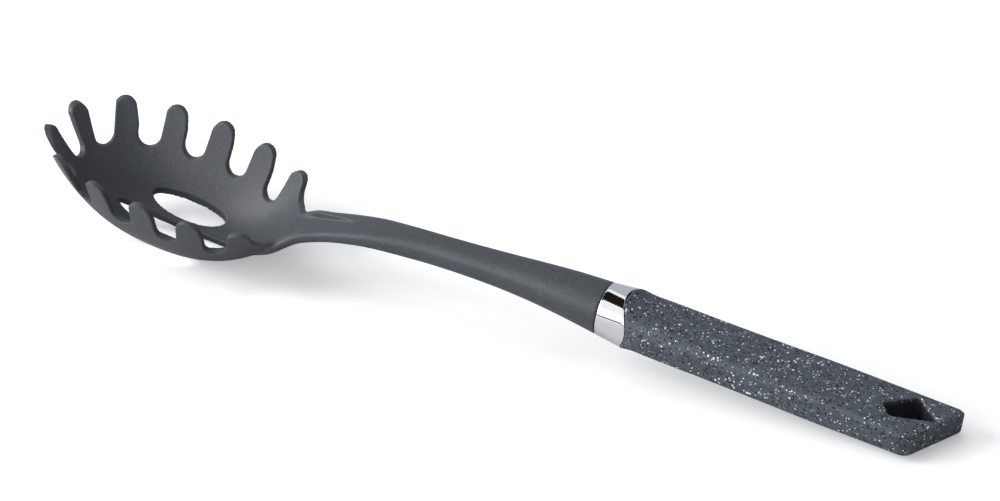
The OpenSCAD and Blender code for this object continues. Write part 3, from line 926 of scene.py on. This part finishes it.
def grip_solid(grip):
    """The grip as bridged sections, rounded at the ring and at its slanted end."""
    rings = []
    for a in [math.radians(15 * k) for k in range(7)]:
        drawn = SHOULDER * (1 - math.sin(a))
        rings.append(grip_ring(grip, SHOULDER * (1 - math.cos(a)), drawn, drawn, drawn))
    body = grip.run - grip.corner
    rings += [grip_ring(grip, SHOULDER + (body - SHOULDER) * k / GRIP_ROWS, 0, 0, 0)
              for k in range(1, GRIP_ROWS)]
    for k in range(END_STEPS + 1):
        a = math.radians(90 / END_STEPS * k)
        x = body + grip.corner * math.sin(a)
        left = grip.run - x
        drawn = [r - math.sqrt(max(0, r * r - (r - left) ** 2)) if left < r else 0
                 for r in (grip.brow, grip.sole)]
        aside = grip.corner * (1 - math.cos(a))
        rings.append(grip_ring(grip, x - grip.joint * a / math.pi * 2, aside, *drawn))
    return loft("grip", rings)


def hole_middle(grip):
    """Distance of the hole's middle from the ring's front."""
    return grip.ring_length + grip.run - grip.hole_edge - grip.hole_x / 2


def hole_tool(grip):
    """Four-cornered prism with rounded corners for the hanging hole."""
    middle = hole_middle(grip)
    corners = [Vector((x * grip.hole_x / 2, y * grip.hole_y / 2)) for x, y in HOLE]
    clear_selection()
    bpy.ops.mesh.primitive_circle_add(vertices=4, radius=1, fill_type='NGON')
    tool = bpy.context.object
    bpy.ops.object.mode_set(mode='EDIT')
    net = bmesh.from_edit_mesh(tool.data)
    net.verts.ensure_lookup_table()
    for vert, at in zip(net.verts, corners):
        vert.co = (at.x + middle, at.y + grip.hole_off, -grip.size_z)
    bmesh.update_edit_mesh(tool.data)
    bpy.ops.mesh.extrude_region_move(TRANSFORM_OT_translate={"value": (0, 0, 2 * grip.size_z)})
    bpy.ops.mesh.select_all(action='DESELECT')
    net = bmesh.from_edit_mesh(tool.data)
    for edge in net.edges:
        if abs(edge.verts[0].co.z - edge.verts[1].co.z) > grip.size_z:
            edge.select_set(True)
    bmesh.update_edit_mesh(tool.data)
    bpy.ops.mesh.bevel(offset=grip.hole_round, offset_type='OFFSET', segments=8, affect='EDGES')
    bpy.ops.mesh.select_all(action='SELECT')
    bpy.ops.mesh.normals_make_consistent(inside=False)
    bpy.ops.object.mode_set(mode='OBJECT')
    return tool


class SERVER_OT_grip(bpy.types.Operator):
    """Moulds the stone-effect grip with its slanted end and hanging hole"""
    bl_idname = "server.grip"
    bl_label = "Grip"

    def execute(self, context):
        scene = context.scene
        bowl, neck, grip = scene.server_bowl, scene.server_neck, scene.server_handle
        to_handle = placements(bowl, neck, grip)[1]
        body = grip_solid(grip)
        carve(body, hole_tool(grip))
        place(body, to_handle)
        skin_over(body, neck.grain, GRIP_ROUNDS)
        thin(body)
        finish = scene.server_finish
        # Size of the oval of painted shade in the hanging hole.
        dark = (grip.hole_x * HOLE_PAINTED_SHADE[0], grip.hole_y * HOLE_PAINTED_SHADE[1],
                table(GRIP, 2, 1) * grip.size_z / 2)
        hole = (to_handle @ Vector((hole_middle(grip), grip.hole_off, 0)), neck.tilt, dark)
        dress(body, stone_material(finish.stone, finish.speck, hole), "stone_grip", "stone_grip", "grip")
        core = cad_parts["handle_core"]
        core.data.materials.clear()
        core.data.materials.append(nylon_material([c * 0.6 for c in finish.nylon]))
        return {'FINISHED'}


def soft_box(name, spot, aim, wide, high, power):
    """White studio lamp at a spot, turned to another one."""
    clear_selection()
    bpy.ops.object.light_add(type='AREA', location=spot)
    lamp = bpy.context.object
    lamp.name = name
    lamp.data.shape = 'RECTANGLE'
    lamp.data.size = wide
    lamp.data.size_y = high
    lamp.data.energy = power
    lamp.rotation_euler = (Vector(aim) - Vector(spot)).to_track_quat('-Z', 'Y').to_euler()
    return lamp


def card(name, spot, turn, size, colour):
    """A studio card that glows with its own colour as a painted reflection: it only shows in reflections
    and casts no light or shadow.
    """
    clear_selection()
    bpy.ops.mesh.primitive_plane_add(size=1, location=spot, rotation=turn)
    board = bpy.context.object
    board.name = name
    board.scale = (*size, 1)
    material, _, skin = shader(name)
    skin.inputs["Base Color"].default_value = (0, 0, 0, 1)
    skin.inputs["Specular IOR Level"].default_value = 0
    skin.inputs["Emission Color"].default_value = (*colour, 1)
    skin.inputs["Emission Strength"].default_value = 1
    board.data.materials.append(material)
    for kind in ("camera", "diffuse", "transmission", "volume_scatter", "shadow"):
        setattr(board, "visible_" + kind, False)


class SERVER_OT_stage(bpy.types.Operator):
    """Sets the floor, the soft boxes, the white room and the camera"""
    bl_idname = "server.stage"
    bl_label = "Stage"

    def execute(self, context):
        scene = context.scene
        clear_selection()
        bpy.ops.mesh.primitive_plane_add(size=8, location=(0, 0, 0))
        floor = context.object
        floor.name = "floor"
        material, tree, skin = shader("white_floor")
        skin.inputs["Roughness"].default_value = 0.9
        skin.inputs["Specular IOR Level"].default_value = 0.1
        eye = tree.nodes.new("ShaderNodeLightPath").outputs["Is Camera Ray"]
        tree.links.new(combine(tree, 'MULTIPLY', eye, FLOOR_GLOW), skin.inputs["Emission Strength"])
        skin.inputs["Emission Color"].default_value = (0.97, 0.98, 1, 1)
        tone = tree.nodes.new("ShaderNodeMix")
        tone.data_type = 'RGBA'
        tone.inputs[MIX_UNDER].default_value = (0.64, 0.645, 0.65, 1)
        tone.inputs[MIX_OVER].default_value = (0.86, 0.865, 0.87, 1)
        tree.links.new(eye, tone.inputs[0])
        tree.links.new(tone.outputs[MIX_RESULT], skin.inputs["Base Color"])
        floor.data.materials.append(material)
        top = soft_box("top_box", (-0.2, 0.3, 1.3), MIDDLE, wide=1.2, high=1.0, power=6.8)
        top.visible_glossy = False
        soft_box("near_box", (-0.5, -1.15, 0.46), MIDDLE, wide=1.3, high=0.62, power=9.4)
        soft_box("left_box", (-1.15, -0.5, 0.78), (-0.05, 0, 0.02), wide=0.8, high=0.8, power=18)
        upright = (math.pi / 2, 0, 0)
        # Painted reflections: glowing cards, dark above and low in front, grey behind.
        card("dark_flag", (-0.42, 0.066, 1.05), (0, 0, 0.1), size=(2.2, 0.8), colour=(0.012, 0.011, 0.01))
        card("foot_flag", (-0.5, -0.9, 0.02), upright, size=(2.4, 0.11), colour=(0.01, 0.01, 0.01))
        card("grey_card", (-0.3, 1.2, 0.7), upright, size=(3, 1.8), colour=(0.47, 0.5, 0.54))
        world = bpy.data.worlds.new("white_room")
        scene.world = world
        world.use_nodes = True
        links, nodes = world.node_tree.links, world.node_tree.nodes
        plain = nodes["Background"]
        plain.inputs["Color"].default_value = (0.9, 0.92, 0.95, 1)
        plain.inputs["Strength"].default_value = 0.18
        white = nodes.new("ShaderNodeBackground")
        white.inputs["Color"].default_value = (1, 1, 1, 1)
        white.inputs["Strength"].default_value = 1
        path = nodes.new("ShaderNodeLightPath").outputs
        seen = combine(world.node_tree, 'MAXIMUM', path["Is Camera Ray"], path["Is Glossy Ray"])
        seen = combine(world.node_tree, 'MAXIMUM', seen, path["Is Transmission Ray"])
        mix = nodes.new("ShaderNodeMixShader")
        links.new(seen, mix.inputs["Fac"])
        links.new(plain.outputs[0], mix.inputs[1])
        links.new(white.outputs[0], mix.inputs[2])
        links.new(mix.outputs[0], nodes["World Output"].inputs["Surface"])
        turn, rise, far = math.radians(26.28), math.radians(32.73), 1.341948
        target = Vector((0.00487, 0, 0.03119))
        back = Vector((math.sin(turn) * math.cos(rise), -math.cos(turn) * math.cos(rise), math.sin(rise)))
        bpy.ops.object.camera_add(location=target + back * far)
        camera = context.object
        camera.rotation_euler = back.to_track_quat('Z', 'Y').to_euler()
        camera.data.sensor_width = 36
        camera.data.lens = 144
        camera.data.clip_end = 20
        camera.data.dof.use_dof = False
        scene.camera = camera
        scene.view_settings.view_transform = 'Standard'
        return {'FINISHED'}


class SERVER_PT_panel(bpy.types.Panel):
    """Sizes and finishes of the pasta server"""
    bl_idname = "SERVER_PT_panel"
    bl_label = "Pasta Server"
    bl_space_type = 'VIEW_3D'
    bl_region_type = 'UI'
    bl_category = "Pasta Server"

    def draw(self, context):
        scene = context.scene
        for group in (scene.server_bowl, scene.server_neck, scene.server_handle, scene.server_finish):
            box = self.layout.box()
            for key in group.__annotations__:
                box.prop(group, key)
        for step in STEPS:
            self.layout.operator(step.bl_idname)


GROUPS = (SERVER_PG_bowl, SERVER_PG_neck, SERVER_PG_handle, SERVER_PG_finish)
STEPS = (SERVER_OT_head, SERVER_OT_ferrule, SERVER_OT_grip, SERVER_OT_stage)


def register():
    for item in (*GROUPS, *STEPS, SERVER_PT_panel):
        bpy.utils.register_class(item)
    bpy.types.Scene.server_bowl = PointerProperty(type=SERVER_PG_bowl)
    bpy.types.Scene.server_neck = PointerProperty(type=SERVER_PG_neck)
    bpy.types.Scene.server_handle = PointerProperty(type=SERVER_PG_handle)
    bpy.types.Scene.server_finish = PointerProperty(type=SERVER_PG_finish)


def unregister():
    for key in ("server_bowl", "server_neck", "server_handle", "server_finish"):
        delattr(bpy.types.Scene, key)
    for item in reversed((*GROUPS, *STEPS, SERVER_PT_panel)):
        bpy.utils.unregister_class(item)


def main():
    register()
    bpy.ops.server.head()
    bpy.ops.server.ferrule()
    bpy.ops.server.grip()
    bpy.ops.server.stage()


if __name__ == "__main__":
    main()
